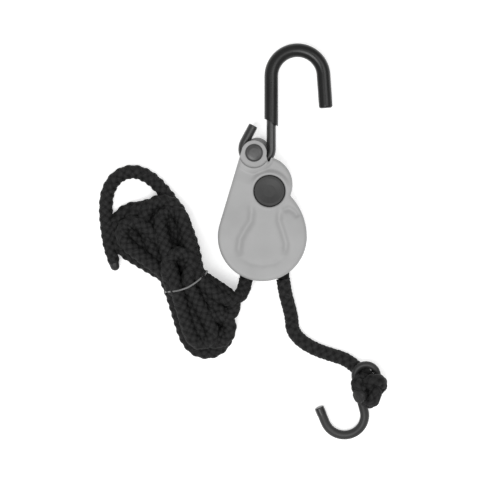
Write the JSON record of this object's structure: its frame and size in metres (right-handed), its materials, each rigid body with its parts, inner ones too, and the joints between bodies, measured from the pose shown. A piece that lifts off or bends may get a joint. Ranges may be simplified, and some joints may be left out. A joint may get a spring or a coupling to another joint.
{
  "type": "rope ratchet hoist",
  "caption": "Small rope ratchet hoist: pear-shaped pulley case with push-button release, S-hook on top, braided rope through it ending in a smaller hook, and the spare rope tied in a hank.",
  "frame": {"origin": "centre of the back shell's flat outer face, on the axis of the case's large round end", "axes": "+Z from the back shell to the front shell (up, as it lies), +Y towards the upper hook, +X towards the load side of the rope"},
  "size_m": [0.1461, 0.2018, 0.0216],
  "materials": {
    "housing_plastic": "moulded light grey, fine satin texture",
    "button_plastic": "moulded charcoal, satin",
    "black_steel": "black oxide or black lacquer on steel rod, semi-gloss",
    "hook_vinyl": "black vinyl, satin",
    "cap_vinyl": "black vinyl, matt",
    "rope_fibre": "black diamond-braided polypropylene",
    "melted_end": "heat-sealed rope fibre, dull",
    "tie_plastic": "grey plastic-coated twist tie",
    "white_nylon": "natural nylon",
    "inner_steel": "zinc plated",
    "spring_steel": "oiled spring wire",
    "bush_bronze": "sintered bronze"
  },
  "bodies": {
    "case": {"front_shell": "housing_plastic", "back_shell": "housing_plastic", "shell_screws": "inner_steel", "hook_pin": "black_steel", "pin_washer": "black_steel", "sheave_axle": "inner_steel", "sheave_washers": "inner_steel", "pawl_pin": "inner_steel", "button_spring": "spring_steel", "button_retainer": "white_nylon", "rope_in_housing": "rope_fibre", "rope_right_run": "rope_fibre", "rope_left_run": "rope_fibre", "rope_hank": "rope_fibre", "rope_free_end": "rope_fibre", "rope_tip": "melted_end", "stopper_knot": "rope_fibre", "hank_tie": "tie_plastic"},
    "sheave": {"sheave": "white_nylon", "ratchet_wheel": "inner_steel", "sheave_bush": "bush_bronze"},
    "pawl": {"pawl": "inner_steel", "pawl_spring": "spring_steel"},
    "button": {"release_button": "button_plastic", "release_wedge": "white_nylon"},
    "upper_hook": {"upper_hook": "black_steel", "upper_hook_sleeve": "hook_vinyl"},
    "lower_hook": {"lower_hook": "black_steel", "lower_hook_coating": "hook_vinyl", "lower_hook_cap": "cap_vinyl"}
  },
  "joints": [
    {"name": "sheave_spin", "type": "hinge", "parent": "case", "child": "sheave", "pos_m": [0.0012, 0, 0.009], "axis": [0, 0, 1], "continuous": true},
    {"name": "button_press", "type": "slide", "parent": "case", "child": "button", "axis": [0, 0, -1], "range_m": [0, 0.0025], "stiffness_N_per_m": 400, "springref_m": -0.0015, "deforming": ["button_spring"]},
    {"name": "pawl_pivot", "type": "hinge", "parent": "case", "child": "pawl", "pos_m": [0.0114, 0.0159, 0.0037], "axis": [0, 0, 1], "range_deg": [-15, 0]},
    {"name": "upper_hook_swing", "type": "hinge", "parent": "case", "child": "upper_hook", "pos_m": [-0.00417, 0.0424, 0.009], "axis": [0, 0, 1], "range_deg": [-25, 50]},
    {"name": "lower_hook_swing", "type": "hinge", "parent": "case", "child": "lower_hook", "pos_m": [0.0528, -0.0705, 0.0093], "axis": [-0.0671, -0.1895, 0.9796], "range_deg": [-30, 30]}
  ],
  "couplings": [
    {"joint": "pawl_pivot", "follows": "button_press", "rad_per_m": -100}
  ]
}
